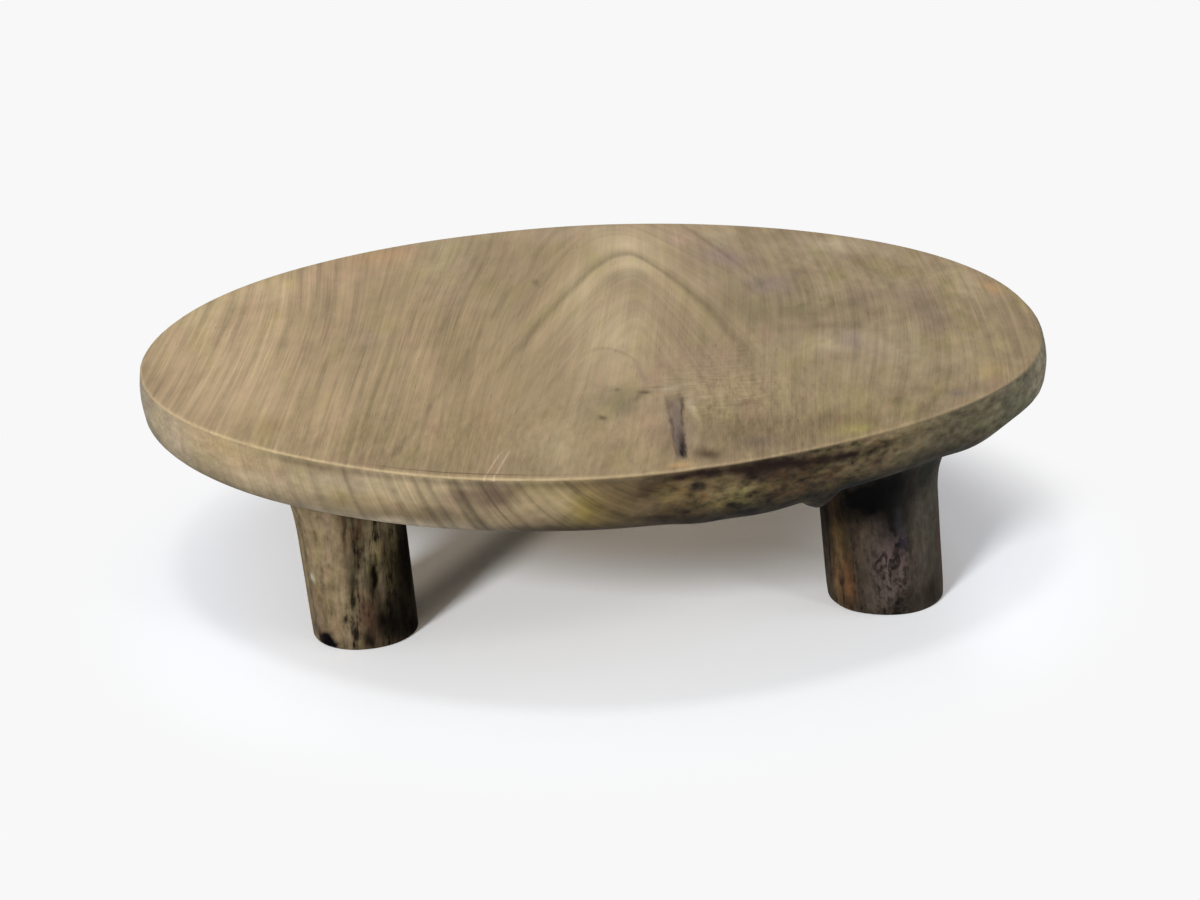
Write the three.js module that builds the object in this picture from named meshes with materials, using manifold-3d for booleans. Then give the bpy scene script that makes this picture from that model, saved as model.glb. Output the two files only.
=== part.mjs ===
import * as THREE from "three";
import { mergeVertices } from "three/addons/utils/BufferGeometryUtils.js";
import Module from "manifold-3d";

// A low round table: a thick wooden top on four short turned legs. Each leg ends in a round tenon
// that sits in a blind mortise in the top's underside. Millimetres, +Z up, origin on the floor
// under the middle of the top, front of the table towards -Y.

// The top
const topDiameter = 400;
const tableHeight = 93.5;
const topThickness = 25;
const upperEdgeRound = 2;
const rimBelly = 0.8;
const lowerEdgeHeight = 8;
const lowerEdgeWidth = 12;
const dressedWidth = 8;
const undersideCrown = 1.5;

// The legs
const legInset = 21;
const footDiameter = 46;
const legTopDiameter = 47;
const flareWidth = 4;
const flareHeight = 24;
const footChamfer = 1;

// The joint between a leg and the top
const tenonDiameter = 28;
const tenonChamfer = 1.5;
const woodOverMortise = 8;
const glueRoom = 1;
const seatGap = 0.3;

// How far a cutting or joining shape runs past the face that it meets
const overrun = 4;

// The rim is cut by hand. Each row is a run of waves round it: how many there are, how high they
// are as a share of the radius, and the angle of one crest in degrees from +X.
const rimWaveShares = [
  { waves: 2, heightShare: 0.0096, crest: -9 },
  { waves: 4, heightShare: 0.0037, crest: -15 },
  { waves: 5, heightShare: 0.004, crest: -28 },
  { waves: 6, heightShare: 0.0032, crest: 23 },
];

// The side, in degrees from +X, where the lower edge was dressed back furthest.
const dressedSide = -25;

// No two legs are quite alike. Each stands on a diagonal, given in degrees from +X. place is its
// foot's distance from the middle as a share of the leg circle, girth and flare are how stout it is
// and how widely it flares as shares of the sizes above, and lean is how far its top stands to +X
// and to +Y of its foot as shares of the leg's height.
const legShares = [
  { name: "leg_front_left", diagonal: 225, place: 0.98, girth: 0.95, flare: 0.6, lean: [-0.055, 0] },
  { name: "leg_front_right", diagonal: 315, place: 1.02, girth: 1.05, flare: 1.3, lean: [-0.07, 0] },
  { name: "leg_back_right", diagonal: 45, place: 1, girth: 1.02, flare: 1, lean: [-0.02, 0.03] },
  { name: "leg_back_left", diagonal: 135, place: 0.99, girth: 0.98, flare: 0.9, lean: [0.01, 0.02] },
];

// Smoothness
const rimSteps = 120;
const legSteps = 48;
const undersideRings = 4;
const edgeSteps = 5;
const flareSteps = 4;

// Sizes that follow from those above
const topRadius = topDiameter / 2;
const legHeight = tableHeight - topThickness;
const legCircleRadius = topRadius - legInset - legTopDiameter / 2;
const tenonRadius = tenonDiameter / 2;
const tenonLength = topThickness - woodOverMortise - glueRoom;

const wasm = await Module();
wasm.setup();

const radians = THREE.MathUtils.degToRad;

// Counts evenly from 0 to 1 in the given number of steps.
function fractions(steps) {
  return Array.from({ length: steps + 1 }, (_, step) => step / steps);
}

// A shape turned about +Z from (radius, height) points that run from its foot to its head.
function turned(profile, steps) {
  const points = profile.map(([radius, height]) => new THREE.Vector2(radius, height));
  return new THREE.LatheGeometry(points, steps).rotateX(Math.PI / 2);
}

// The closed solid that a geometry bounds, ready to be cut and joined.
function solidOf(geometry) {
  const bare = geometry.clone();
  bare.deleteAttribute("normal");
  bare.deleteAttribute("uv");
  const merged = mergeVertices(bare);
  const corners = merged.index.array;
  const triangles = [];
  for (let at = 0; at < corners.length; at += 3) {
    const [a, b, c] = corners.slice(at, at + 3);
    if (a !== b && b !== c && c !== a) {
      triangles.push(a, b, c);
    }
  }
  const mesh = new wasm.Mesh({
    numProp: 3,
    vertProperties: new Float32Array(merged.attributes.position.array),
    triVerts: new Uint32Array(triangles),
  });
  return new wasm.Manifold(mesh);
}

function geometryOf(solid) {
  const { vertProperties, triVerts } = solid.getMesh();
  const geometry = new THREE.BufferGeometry();
  geometry.setAttribute("position", new THREE.BufferAttribute(new Float32Array(vertProperties), 3));
  geometry.setIndex(new THREE.BufferAttribute(new Uint32Array(triVerts), 1));
  geometry.computeVertexNormals();
  return geometry;
}

// How far the hand-cut rim stands from the middle at an angle, as a share of the radius.
function rimShareAt(angle) {
  const heights = rimWaveShares.map(
    ({ waves, heightShare, crest }) => heightShare * Math.cos(waves * (angle - radians(crest))),
  );
  return heights.reduce((sum, height) => sum + height, 1);
}

// How far the lower edge is dressed back at an angle, as a share of the radius.
function dressedShareAt(angle) {
  const facing = Math.max(0, Math.cos(angle - radians(dressedSide)));
  return dressedWidth / topRadius * facing * facing;
}

// The top's section from the middle of its underside, out round the rim and back along its face.
function topProfile() {
  const flatRadius = topRadius - lowerEdgeWidth;
  const underside = fractions(undersideRings).map((out) => [
    out * flatRadius,
    undersideCrown * (out * out - 1),
  ]);
  const lowerEdge = fractions(edgeSteps).slice(1).map((along) => {
    const turn = along * Math.PI / 2;
    return [flatRadius + lowerEdgeWidth * Math.sin(turn), lowerEdgeHeight * (1 - Math.cos(turn))];
  });
  const rimMiddle = [topRadius + rimBelly, (lowerEdgeHeight + topThickness - upperEdgeRound) / 2];
  const upperEdge = fractions(edgeSteps).map((along) => {
    const turn = along * Math.PI / 2;
    return [
      topRadius - upperEdgeRound * (1 - Math.cos(turn)),
      topThickness - upperEdgeRound * (1 - Math.sin(turn)),
    ];
  });
  return [...underside, ...lowerEdge, rimMiddle, ...upperEdge, [0, topThickness]];
}

// The top before its mortises are cut, with the edge of its underside at the height of the legs.
function topBlank() {
  const geometry = turned(topProfile(), rimSteps);
  const position = geometry.attributes.position;
  for (let at = 0; at < position.count; at += 1) {
    const [x, y] = [position.getX(at), position.getY(at)];
    const angle = Math.atan2(y, x);
    const low = THREE.MathUtils.clamp(1 - position.getZ(at) / lowerEdgeHeight, 0, 1);
    const share = rimShareAt(angle) - low * dressedShareAt(angle);
    position.setXY(at, x * share, y * share);
  }
  geometry.computeBoundingBox();
  const middle = geometry.boundingBox.getCenter(new THREE.Vector3());
  return geometry.translate(-middle.x, -middle.y, legHeight);
}

// Where a leg stands and how it leans: a frame whose +Z runs up the leg from the floor.
function legPlacement({ diagonal, place, lean }) {
  const foot = new THREE.Vector3(legCircleRadius * place, 0, 0);
  foot.applyAxisAngle(new THREE.Vector3(0, 0, 1), radians(diagonal));
  const up = new THREE.Vector3(lean[0], lean[1], 1);
  const length = legHeight * up.length();
  const tilt = new THREE.Quaternion().setFromUnitVectors(new THREE.Vector3(0, 0, 1), up.normalize());
  const matrix = new THREE.Matrix4().compose(foot, tilt, new THREE.Vector3(1, 1, 1));
  return { foot, length, matrix };
}

// The turned leg, left long at both ends: tapered, then flared where it meets the top.
function legBlank(length, { girth, flare }) {
  const footRadius = footDiameter / 2 * girth;
  const headRadius = legTopDiameter / 2 * girth;
  const flaredRadius = headRadius + flareWidth * flare;
  const flareCurve = fractions(flareSteps).map((along) => [
    THREE.MathUtils.lerp(headRadius, flaredRadius, along * along),
    length - flareHeight * (1 - along),
  ]);
  return turned(
    [
      [0, -overrun],
      [footRadius, -overrun],
      ...flareCurve,
      [flaredRadius, length + overrun],
      [0, length + overrun],
    ],
    legSteps,
  );
}

// What a level foot with a chamfered edge leaves of a leg, standing upright on the floor.
function footTrim(foot, { girth }) {
  const footRadius = footDiameter / 2 * girth;
  const trim = turned(
    [
      [0, 0],
      [footRadius - footChamfer, 0],
      [footRadius * 2, footRadius + footChamfer],
      [footRadius * 2, tableHeight],
      [0, tableHeight],
    ],
    legSteps,
  );
  return trim.translate(foot.x, foot.y, foot.z);
}

function tenon(length) {
  return turned(
    [
      [0, length - overrun],
      [tenonRadius, length - overrun],
      [tenonRadius, length + tenonLength - tenonChamfer],
      [tenonRadius - tenonChamfer, length + tenonLength],
      [0, length + tenonLength],
    ],
    legSteps,
  );
}

function mortise(length) {
  const depth = length + tenonLength + glueRoom;
  return turned(
    [
      [0, length - overrun],
      [tenonRadius + seatGap, length - overrun],
      [tenonRadius + seatGap, depth],
      [0, depth],
    ],
    legSteps,
  );
}

// Bare, dry wood, with the facets of the model left flat
function bareWood(color, roughness) {
  return new THREE.MeshStandardMaterial({ color, roughness, metalness: 0, flatShading: true });
}

// Weathered teak of the top, a pale olive tan
function topWood() {
  return bareWood(0x9d8c6c, 0.8);
}

// The legs' darker, browner wood
function legWood() {
  return bareWood(0x6b5a44, 0.85);
}

// The top with a blind mortise for each leg, in line with that leg's lean.
function makeTop() {
  const blank = solidOf(topBlank());
  const mortises = legShares.map((leg) => {
    const { length, matrix } = legPlacement(leg);
    return solidOf(mortise(length).applyMatrix4(matrix));
  });
  const cut = mortises.reduce((solid, hole) => solid.subtract(hole), blank);
  const mesh = new THREE.Mesh(geometryOf(cut).translate(0, 0, -legHeight), topWood());
  mesh.position.set(0, 0, legHeight);
  mesh.name = "top_slab";
  return mesh;
}

// A leg that leans by its own amount, with its foot cut level and its shoulder scribed to the
// crowned underside, so that it bears all round its tenon.
function makeLeg(leg) {
  const { foot, length, matrix } = legPlacement(leg);
  const blank = solidOf(legBlank(length, leg).applyMatrix4(matrix));
  const trim = solidOf(footTrim(foot, leg));
  const scribe = solidOf(topBlank().translate(0, 0, -seatGap));
  const pin = solidOf(tenon(length).applyMatrix4(matrix));
  const solid = blank.intersect(trim).subtract(scribe).add(pin);
  const geometry = geometryOf(solid).applyMatrix4(matrix.clone().invert());
  const mesh = new THREE.Mesh(geometry, legWood());
  mesh.applyMatrix4(matrix);
  mesh.name = leg.name;
  return mesh;
}

const group = new THREE.Group();
group.add(makeTop());
for (const leg of legShares) {
  group.add(makeLeg(leg));
}

export default group;
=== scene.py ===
import math
from collections import namedtuple

import bpy
import numpy as np
from mathutils import Matrix, Vector, noise


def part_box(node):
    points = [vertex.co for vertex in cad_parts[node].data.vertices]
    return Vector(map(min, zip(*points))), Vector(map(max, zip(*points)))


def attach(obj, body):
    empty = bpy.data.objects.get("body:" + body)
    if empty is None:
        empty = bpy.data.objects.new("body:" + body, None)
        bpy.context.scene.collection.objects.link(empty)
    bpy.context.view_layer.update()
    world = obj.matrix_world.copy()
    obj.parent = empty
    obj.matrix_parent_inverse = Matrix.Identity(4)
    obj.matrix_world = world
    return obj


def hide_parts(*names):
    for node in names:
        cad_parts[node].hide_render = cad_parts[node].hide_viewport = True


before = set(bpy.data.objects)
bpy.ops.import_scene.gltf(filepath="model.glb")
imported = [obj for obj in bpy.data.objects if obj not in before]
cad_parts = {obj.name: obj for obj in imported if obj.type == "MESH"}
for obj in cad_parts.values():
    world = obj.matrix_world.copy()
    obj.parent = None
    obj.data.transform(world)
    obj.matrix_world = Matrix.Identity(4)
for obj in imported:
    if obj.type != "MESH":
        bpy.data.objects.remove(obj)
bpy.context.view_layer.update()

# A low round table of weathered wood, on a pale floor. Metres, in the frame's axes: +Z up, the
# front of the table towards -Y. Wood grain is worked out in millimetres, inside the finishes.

MILLIMETRES = 1000

# The top
TABLE_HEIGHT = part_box("top_slab")[1].z
TOP_RADIUS = 0.2
TOP_THICKNESS = 0.025
RIM_BELLY = 0.0008
LOWER_EDGE_HEIGHT = 0.008
LOWER_EDGE_WIDTH = 0.012
DRESSED_WIDTH = 0.008
DRESSED_SIDE = math.radians(-25)
UNDERSIDE_CROWN = 0.0015
RIM_WAVES = ((2, 0.0096, -9), (4, 0.0037, -15), (5, 0.004, -28), (6, 0.0032, 23))

# Lumps and hollows of the lower edge: where they are in degrees, how wide, and how deep they hang
LUMPS = (
    (-140, 14, 0.0009), (-104, 10, -0.0005), (-83, 3, 0.0011), (-75, 6.5, 0.0022), (-67.3, 1.4, 0.0046),
    (-42, 5, 0.0024), (-23, 7, 0.003),
)
LUMP_RISE = 0.014
LUMP_START = 0.15
LUMP_FULL = 0.185

# The legs
LEG_HEIGHT = TABLE_HEIGHT - TOP_THICKNESS
LEG_CIRCLE = 0.1555
FOOT_RADIUS = 0.023
HEAD_RADIUS = 0.0235
FLARE_WIDTH = 0.004
FLARE_HEIGHT = 0.024

# The joints between them
TENON_RADIUS = 0.014
TENON_LENGTH = 0.016
TENON_CHAMFER = 0.0015
GLUE_ROOM = 0.001
SEAT_GAP = 0.0003
CUTTER_OVERRUN = 0.006

# Handwork and wear: how far each stands out or is worn away, and where
FACE_WAVES = 0.00012
FACE_WORN = 0.0001
RIM_FLATS = 0.00035
LEG_FLATS = 0.0003
ROUGHNESS = 0.00012
EDGE_WEAR = 0.0017
EDGE_UNEVEN = 0.0007
CORNER_WEAR = 0.0034
CORNER_SIDE = math.radians(-15)
CORNER_WIDTH = 0.3
FACE_BAND = 0.0015
FACE_FADE = 0.0014
FOOT_WEAR = 0.0012
FOOT_UNEVEN = 0.0006
LIP_SIDE = math.radians(195)

# How finely the meshes are drawn. The steps round the top come to a multiple of MOST_SKIPPED, and
# its rings have fewer points below the radius FULL_RING. The rings of its face stand closer
# together outside the INNER_FACE share of its radius.
TOP_STEPS = 432
SLIT_STEPS = 128
SLIT_SIDES = (-97, -72)
MOST_SKIPPED = 16
FULL_RING = 0.08
UNDERSIDE_RINGS = 40
LOWER_EDGE_RINGS = 15
RIM_RINGS = 20
UPPER_EDGE_RINGS = 8
FACE_RINGS = 80
INNER_FACE = 0.42
INNER_FACE_RINGS = 28
LEG_STEPS = 240
LEG_RINGS = 100
SOLE_RINGS = 12
FOOT_EDGE_RINGS = 6
SHOULDER_RINGS = 6
MORTISE_STEPS = 64
HALVINGS = 25
LEG_TRIES = 12

# A leg stands on a diagonal, in degrees from +X. place, girth and flare are shares of the sizes
# above, and lean is how far its head stands to +X and +Y of its foot for each step up. turned is
# how far its stains go round it, in degrees, and lip how much more it spreads just under the top.
Leg = namedtuple("Leg", "name diagonal place girth flare lean turned lip")
LEGS = (
    Leg("leg_front_left", 225, 0.98, 0.95, 0.6, (-0.055, 0), 0, 0.0004),
    Leg("leg_front_right", 315, 1.02, 1.05, 1.3, (-0.07, 0), 0, 0.0034),
    Leg("leg_back_right", 45, 1, 1.02, 1, (-0.02, 0.03), 140, 0.001),
    Leg("leg_back_left", 135, 0.99, 0.98, 0.9, (0.01, 0.02), -95, 0.0006),
)


def linear(red, green, blue):
    """A colour as a screen shows it, each part from 0 to 255, as the number that Blender wants."""
    parts = [part / 255 for part in (red, green, blue)]
    return [part / 12.92 if part < 0.04045 else ((part + 0.055) / 1.055) ** 2.4 for part in parts] + [1]


# Shape of the top

def rim_share(angle):
    """How far the hand-cut rim stands from the middle, as a share of the radius."""
    heights = [height * np.cos(waves * (angle - math.radians(crest))) for waves, height, crest in RIM_WAVES]
    return 1 + sum(heights)


def dressed_share(angle):
    """How far the lower edge is dressed back, as a share of the radius."""
    return DRESSED_WIDTH / TOP_RADIUS * np.maximum(0, np.cos(angle - DRESSED_SIDE)) ** 2


def outline_middle():
    """The middle of the rim's own box, which the table is centred on."""
    angle = np.linspace(-math.pi, math.pi, 1440)
    reach = (TOP_RADIUS + RIM_BELLY) * rim_share(angle)
    x, y = reach * np.cos(angle), reach * np.sin(angle)
    return np.array(((x.min() + x.max()) / 2, (y.min() + y.max()) / 2))


MIDDLE = outline_middle()


def lower_edge(turn):
    """The rounded lower edge's radius and height above the legs, turn going from 0 below to a quarter."""
    flat = TOP_RADIUS - LOWER_EDGE_WIDTH
    return flat + LOWER_EDGE_WIDTH * np.sin(turn), LOWER_EDGE_HEIGHT * (1 - np.cos(turn))


def share_at(angle, height):
    """The rim's share at a height above the legs, where the lower edge is dressed back."""
    low = np.clip(1 - height / LOWER_EDGE_HEIGHT, 0, 1)
    return rim_share(angle) - low * dressed_share(angle)


def smooth(value):
    """0 up to 0 and 1 from 1 on, smooth between."""
    share = np.clip(value, 0, 1)
    return share * share * (3 - 2 * share)


def sag(angle, reach, height):
    """How far the lumps lower a place on the underside or on the lower part of the rim."""
    degrees = np.degrees(angle)
    lumps = sum(depth * np.exp(-((degrees - middle) / width) ** 2) for middle, width, depth in LUMPS)
    return lumps * smooth((reach - LUMP_START) / (LUMP_FULL - LUMP_START)) * (1 - smooth(height / LUMP_RISE))


def underside_height(x, y):
    """Height of the top's crowned underside, and of its lower edge, over a place on the floor."""
    across, along = x + MIDDLE[0], y + MIDDLE[1]
    angle, reach = np.arctan2(along, across), np.hypot(across, along)
    flat = (TOP_RADIUS - LOWER_EDGE_WIDTH) * share_at(angle, 0)
    crowned = UNDERSIDE_CROWN * (np.minimum(reach / flat, 1) ** 2 - 1)
    least, most = np.zeros_like(reach), np.full_like(reach, math.pi / 2)
    for _ in range(HALVINGS):
        turn = (least + most) / 2
        radius, height = lower_edge(turn)
        inside = radius * share_at(angle, height) < reach
        least, most = np.where(inside, turn, least), np.where(inside, most, turn)
    height = np.where(reach < flat, crowned, lower_edge(least)[1])
    return LEG_HEIGHT + height - sag(angle, reach, height)


def rough(places, size, seed=0):
    """Smooth noise from -1 to 1 over points, with lumps of about the given size along each axis."""
    scaled = np.asarray(places) / np.asarray(size) + seed * 17.3
    return np.array([noise.noise(Vector(place)) for place in scaled])


# Stains and marks

# A soft patch of another colour on the wood, and how deep a dent it makes in millimetres. On the
# face, across and along are X and Y in millimetres. On the rim and on the legs, across is an angle
# in degrees and along a height in millimetres. lean is how far it moves across for each step along.
# A share above 1 gives a solid middle and a crisper edge.
Stain = namedtuple("Stain", "across along width length color share lean depth", defaults=(0, 0))


def make_stains(*rows):
    """Stains from rows of their numbers, in the order of their names."""
    return [Stain(*row) for row in rows]


FACE_WOOD = (163, 142, 111)
FACE_STAINS = make_stains(
    # Broad tones from the warm left to the duller right
    (-165, 20, 36, 190, (186, 162, 128), 0.95),
    (-125, 120, 30, 45, (184, 159, 127), 0.7),
    (-122, -110, 16, 40, (177, 154, 120), 0.7, 0.1),
    (-95, 158, 20, 18, (183, 148, 112), 0.6),
    (-180, 70, 12, 30, (184, 166, 126), 0.6),
    (-62, 168, 14, 26, (173, 158, 128), 0.6),
    (-155, 105, 16, 22, (198, 175, 139), 0.8),
    (-62, 78, 12, 30, (176, 155, 124), 0.75),
    (-64, 130, 12, 26, (184, 164, 133), 0.7),
    (-137, -112, 15, 16, (156, 135, 101), 0.75),
    (-104, -135, 12, 24, (146, 126, 94), 0.6),
    (-62, -20, 11, 70, (150, 131, 99), 0.85, 0.03),
    (-62, -145, 13, 40, (146, 127, 95), 0.85, 0.12),
    (-90, -140, 12, 30, (155, 135, 102), 0.7, 0.1),
    (-36, 60, 9, 60, (153, 133, 107), 0.7, 0.1),
    (-38, -50, 9, 45, (154, 135, 104), 0.6, 0.1),
    (-27, -165, 10, 34, (172, 153, 121), 0.9, 0.1),
    (110, 20, 62, 150, (150, 134, 107), 0.7),
    (95, -140, 45, 45, (145, 129, 98), 0.6),
    (150, -95, 26, 26, (164, 146, 116), 0.7, 0.2),
    (182, 40, 12, 60, (170, 152, 122), 0.7),
    (122, 122, 26, 26, (167, 150, 122), 0.6),
    # The pale flame up the middle
    (8, -12, 18, 72, (190, 170, 137), 0.9, 0.1),
    (2, 78, 9, 44, (188, 169, 134), 0.75, 0.12),
    (32, 150, 18, 28, (202, 182, 148), 0.95),
    (32, 108, 16, 26, (192, 172, 139), 0.85),
    (80, 156, 9, 12, (186, 167, 137), 0.7),
    (2, 190, 9, 16, (140, 122, 114), 0.5, 0.2),
    (35, 186, 95, 20, (196, 175, 144), 0.4),
    (34, 30, 10, 46, (172, 151, 122), 0.7),
    # Mauve, green-grey and brown patches
    (60, 156, 9, 16, (186, 156, 138), 0.6),
    (76, 108, 12, 26, (150, 131, 121), 0.65, -0.1),
    (89, 52, 13, 17, (141, 125, 116), 0.7),
    (74, 8, 16, 34, (136, 122, 93), 0.8),
    (100, 0, 14, 16, (134, 120, 92), 0.75),
    (122, 0, 9, 22, (132, 118, 92), 0.6),
    (102, -54, 12, 15, (184, 166, 133), 0.85),
    (122, -66, 10, 22, (172, 157, 128), 0.5),
    (140, 120, 14, 14, (186, 168, 140), 0.7),
    (158, 100, 10, 12, (172, 157, 128), 0.6),
    (60, 62, 10, 16, (172, 150, 122), 0.6),
    (60, -48, 9, 46, (142, 123, 96), 0.8, 0.1),
    (42, -56, 10, 34, (157, 135, 111), 0.8),
    (43, 2, 8, 34, (150, 130, 103), 0.5),
    (22, 80, 9, 16, (152, 140, 114), 0.4),
    (-80, -20, 6, 110, (180, 157, 122), 0.5, 0.05),
    (80, 134, 8, 11, (176, 158, 132), 0.6),
    (110, -26, 14, 8, (128, 114, 88), 0.6),
    (141, -100, 9, 26, (138, 122, 96), 0.55, 0.1),
    (112, -52, 7, 20, (142, 126, 117), 0.6, 0.1),
    (136, -58, 7, 32, (166, 151, 120), 0.7, 0.15),
    (155, -16, 10, 36, (132, 115, 97), 0.85, 0.05),
    (148, 34, 10, 30, (145, 129, 107), 0.6),
    (48, -160, 26, 24, (124, 108, 80), 0.85),
    (84, -156, 18, 18, (132, 116, 82), 0.7),
    (-4, -170, 12, 16, (146, 127, 98), 0.6),
    (-38, -176, 10, 16, (148, 130, 99), 0.6),
    (0, -118, 12, 18, (151, 136, 107), 0.6),
    (-100, 10, 8, 12, (172, 152, 128), 0.4),
    (160, -105, 7, 10, (190, 165, 110), 0.5, 0.3),
    (88, -167, 7, 7, (168, 156, 96), 0.7),
    (192, 19, 4, 8, (190, 150, 100), 0.6),
    (137, -134, 3, 4, (90, 92, 104), 0.5),
    # The knot, the slit in front of it and small marks elsewhere
    (5, -107, 7, 18, (130, 118, 92), 0.75, 0.1),
    (22, -145, 7, 40, (142, 122, 110), 0.6, 0.06),
    (14, -168, 5, 18, (138, 118, 94), 0.7),
    (25, -97, 5, 5, (184, 168, 140), 0.6),
    (14.5, -99.5, 2.6, 3.2, (84, 70, 54), 0.8, 0, 0.4),
    (11, -106, 1.6, 7, (112, 98, 76), 0.65, 0.35, 0.1),
    (20, -94.5, 5, 1.6, (128, 108, 86), 0.65, 0, 0.1),
    (15, -74, 1.4, 16, (142, 122, 106), 0.6, -0.1, 0.1),
    (21.4, -119, 1.8, 6, (88, 74, 62), 0.6, 0.15, 0.2),
    (27, -118, 1.4, 14, (92, 76, 70), 0.5, 0.08, 0.2),
    (31, -126, 2, 12, (192, 176, 148), 0.5),
    (20.5, -168, 2.4, 11, (84, 68, 62), 0.6, 0.07, 0.6),
    (17, -193, 5, 2.5, (196, 158, 110), 0.7),
    (-5.7, -128, 1.7, 3.6, (92, 78, 60), 0.8, 0, 0.4),
    (4, -93, 1.4, 2.4, (112, 98, 76), 0.6, 0, 0.2),
    (61.5, -55, 1.6, 9, (116, 98, 76), 0.6, 0.25, 0.1),
    (54, -124, 3, 4, (114, 96, 72), 0.65, 0.3, 0.1),
    (76, -152, 7, 8, (122, 106, 82), 0.65, 0.2),
    (50, -171, 7, 8, (122, 106, 92), 0.65),
    (29, -183, 5, 6, (76, 62, 42), 0.85),
    (-20, 83, 1.4, 6, (112, 96, 72), 0.6, 0, 0.1),
)

# Angles run from +X, and the front is at -90
RIM_WOOD = (148, 131, 102)
RIM_STAINS = make_stains(
    (-172, 12, 9, 30, (144, 136, 122), 0.8),
    (-155, 12, 6, 18, (170, 154, 128), 0.8),
    (-142, 20, 9, 6, (156, 134, 98), 0.7),
    (-136, 10, 8, 4, (175, 156, 125), 0.75),
    (-127, 22, 4, 3, (112, 96, 68), 0.7),
    (-123, 17, 6, 4, (140, 128, 110), 0.5),
    (-123, 8, 6, 5, (112, 98, 72), 0.7),
    (-113, 9, 6, 3.7, (95, 81, 60), 0.8),
    (-120, 12, 6, 5, (146, 126, 94), 0.6),
    (-119, 2, 13, 3, (216, 197, 167), 0.9),
    (-107, 18, 4, 7, (80, 65, 52), 0.85, 0.3),
    (-104.5, 18, 1.6, 4, (64, 48, 40), 0.8, 0.3),
    (-102, 14, 3.5, 9, (136, 118, 88), 0.7),
    (-95, 12, 2.4, 9, (130, 115, 52), 0.95),
    (-95, 21.5, 6, 3.5, (102, 84, 53), 0.7),
    (-97, 3.5, 9, 3.6, (57, 45, 29), 0.85),
    (-92, 13, 4, 14, (102, 84, 54), 0.8),
    (-84, 14, 6, 18, (66, 52, 34), 0.85),
    (-86, 9, 3, 6, (50, 39, 24), 0.7),
    (-72, 12, 17, 30, (58, 45, 27), 0.95),
    (-88, 19, 3.5, 5, (48, 32, 16), 0.8, 0.4),
    (-85.5, 15.5, 2.2, 5, (106, 90, 58), 0.65),
    (-78.8, 12.5, 2.2, 5, (112, 101, 66), 0.8),
    (-76, 21.5, 4, 4, (22, 11, 6), 1),
    (-82, 4, 4, 3, (34, 24, 16), 0.7),
    (-82, 11, 2.2, 3, (104, 89, 60), 0.4),
    (-77, 4, 4, 4, (38, 34, 28), 0.7),
    (-68, 8, 3, 4, (72, 58, 46), 0.7),
    (-68, 19, 9, 3, (44, 32, 24), 0.6),
    (-62, 5, 24, 4, (30, 26, 17), 0.75),
    (-62, 14, 4, 9, (68, 56, 42), 0.7),
    (-59, 20, 5, 6, (108, 96, 68), 0.85),
    (-47, 14, 9, 20, (80, 76, 58), 0.9),
    (-54, 9, 5, 5, (50, 45, 32), 0.8),
    (-48.5, 4, 7, 5, (38, 36, 29), 0.9),
    (-63, 2.8, 3.2, 4.2, (6, 7, 6), 1.4),
    (-34, 12, 8, 30, (91, 90, 73), 0.85),
    (-37, 17, 2.5, 5, (78, 72, 64), 0.5),
    (-17, 13, 12, 30, (132, 130, 112), 0.8),
    # The sides that the photograph doesn't show
    (20, 10, 12, 12, (120, 104, 80), 0.6),
    (52, 14, 9, 10, (104, 88, 64), 0.6, 0.4),
    (88, 8, 16, 9, (124, 106, 80), 0.7),
    (120, 16, 8, 8, (94, 80, 62), 0.5, 0.3),
    (150, 10, 12, 14, (136, 124, 104), 0.7),
)

UNDERSIDE_WOOD = (128, 111, 86)

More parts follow.
